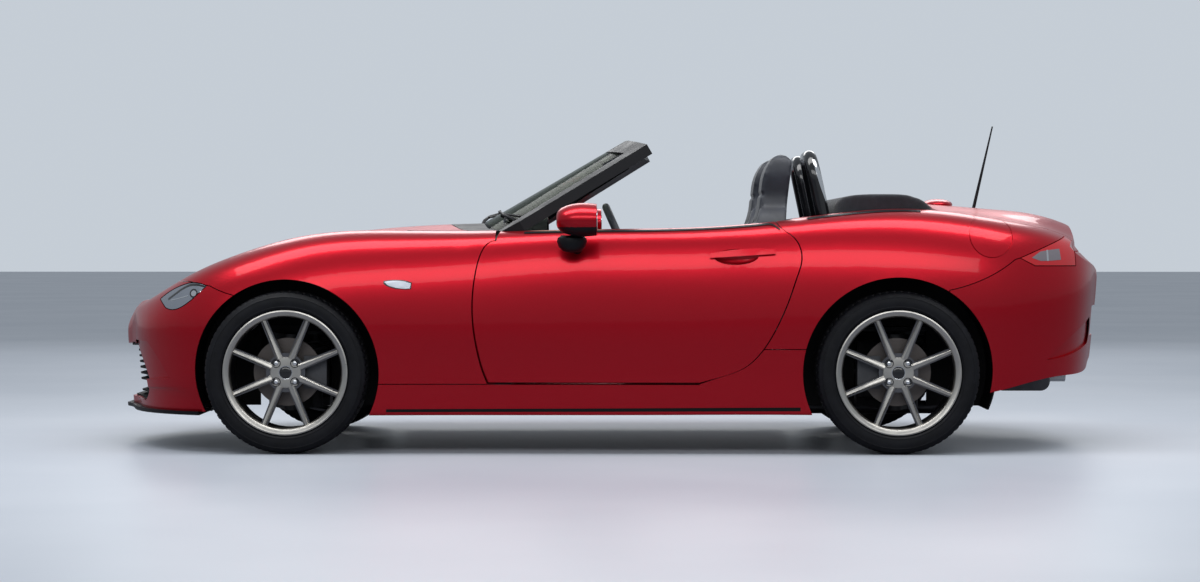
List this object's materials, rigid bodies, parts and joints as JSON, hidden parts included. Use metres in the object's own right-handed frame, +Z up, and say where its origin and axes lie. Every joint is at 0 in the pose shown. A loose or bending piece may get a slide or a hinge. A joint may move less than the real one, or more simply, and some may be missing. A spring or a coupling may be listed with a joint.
{
  "type": "convertible car",
  "caption": "Two-seat roadster with its roof folded, opening doors, hood and boot lid, steered front wheels and free-turning road wheels.",
  "frame": {"origin": "on the ground, under the middle of the whole car, mirrors and aerial counted", "axes": "+Z up, +X toward the tail so that the nose looks along -X, -Y is the left side, the one pictured, where the driver sits"},
  "size_m": [3.9161, 2, 1.2929],
  "materials": {
    "body_paint": "gloss",
    "lamp_clear": "clear",
    "lamp_red": "clear",
    "pane": "clear",
    "dark_trim": "satin",
    "cabin_trim": "matte",
    "seat_cover": "matte",
    "roof_cloth": "matte",
    "steel": "satin",
    "cast": "matte",
    "alloy": "satin",
    "disc_steel": "satin",
    "pipe_steel": "satin",
    "tread": "matte"
  },
  "bodies": {
    "body": {"fender_l": "body_paint", "fender_r": "body_paint", "quarter_l": "body_paint", "quarter_r": "body_paint", "sills": "body_paint", "headlamps": "lamp_clear", "tail_lamps": "lamp_red", "front_bumper": "body_paint", "rear_bumper": "body_paint", "windscreen_frame": "dark_trim", "windscreen_glass": "pane", "cowl": "dark_trim", "floor_pan": "cabin_trim", "firewall": "steel", "rear_bulkhead": "cabin_trim", "boot_tub": "steel", "front_frame": "steel", "arch_liners": "dark_trim", "soft_top": "roof_cloth", "roll_hoops": "dark_trim", "seat_l": "seat_cover", "seat_r": "seat_cover", "dashboard": "cabin_trim", "console": "cabin_trim", "rear_uprights": "cast", "front_axle": "steel", "rear_axle": "steel", "engine_block": "cast", "gearbox": "alloy", "exhaust": "pipe_steel", "antenna": "dark_trim", "grille": "dark_trim", "undertray": "dark_trim", "differential": "cast"},
    "door_left": {"door_l": "body_paint", "mirror_l": "body_paint"},
    "door_right": {"door_r": "body_paint", "mirror_r": "body_paint"},
    "hood_panel": {"hood": "body_paint"},
    "boot_panel": {"boot_lid": "body_paint"},
    "steer_left": {"knuckle_l": "cast"},
    "steer_right": {"knuckle_r": "cast"},
    "hand_wheel": {"steering_wheel": "seat_cover"},
    "road_wheel_fl": {"wheel_fl": "alloy", "tyre_fl": "tread", "disc_fl": "disc_steel"},
    "road_wheel_fr": {"wheel_fr": "alloy", "tyre_fr": "tread", "disc_fr": "disc_steel"},
    "road_wheel_rl": {"wheel_rl": "alloy", "tyre_rl": "tread", "disc_rl": "disc_steel"},
    "road_wheel_rr": {"wheel_rr": "alloy", "tyre_rr": "tread", "disc_rr": "disc_steel"}
  },
  "joints": [
    {"name": "door_left_hinge", "type": "hinge", "parent": "body", "child": "door_left", "pos_m": [-0.4395, -0.7915, 0.5], "axis": [0, 0, -1], "range_deg": [0, 65]},
    {"name": "door_right_hinge", "type": "hinge", "parent": "body", "child": "door_right", "pos_m": [-0.4395, 0.7915, 0.5], "axis": [0, 0, 1], "range_deg": [0, 65]},
    {"name": "hood_hinge", "type": "hinge", "parent": "body", "child": "hood_panel", "pos_m": [-0.509, 0, 0.845], "axis": [0, 1, 0], "range_deg": [0, 50]},
    {"name": "boot_hinge", "type": "hinge", "parent": "body", "child": "boot_panel", "pos_m": [1.253, 0, 0.95], "axis": [0, -1, 0], "range_deg": [0, 75]},
    {"name": "steer_left_pivot", "type": "hinge", "parent": "body", "child": "steer_left", "pos_m": [-1.2275, -0.6655, 0.308], "axis": [0, 0, 1], "range_deg": [-35, 35]},
    {"name": "steer_right_pivot", "type": "hinge", "parent": "body", "child": "steer_right", "pos_m": [-1.2275, 0.6655, 0.308], "axis": [0, 0, 1], "range_deg": [-35, 35]},
    {"name": "hand_wheel_turn", "type": "hinge", "parent": "body", "child": "hand_wheel", "pos_m": [0.0525, -0.37, 0.77], "axis": [0.9136, 0, 0.4067], "range_deg": [-486, 486]},
    {"name": "wheel_fl_turn", "type": "hinge", "parent": "steer_left", "child": "road_wheel_fl", "pos_m": [-1.2275, -0.7475, 0.308], "axis": [0, 1, 0], "continuous": true},
    {"name": "wheel_fr_turn", "type": "hinge", "parent": "steer_right", "child": "road_wheel_fr", "pos_m": [-1.2275, 0.7475, 0.308], "axis": [0, 1, 0], "continuous": true},
    {"name": "wheel_rl_turn", "type": "hinge", "parent": "body", "child": "road_wheel_rl", "pos_m": [1.0825, -0.7525, 0.308], "axis": [0, 1, 0], "continuous": true},
    {"name": "wheel_rr_turn", "type": "hinge", "parent": "body", "child": "road_wheel_rr", "pos_m": [1.0825, 0.7525, 0.308], "axis": [0, 1, 0], "continuous": true}
  ],
  "couplings": [
    {"joint": "steer_right_pivot", "follows": "steer_left_pivot", "ratio": 1},
    {"joint": "hand_wheel_turn", "follows": "steer_left_pivot", "ratio": 13.886}
  ]
}
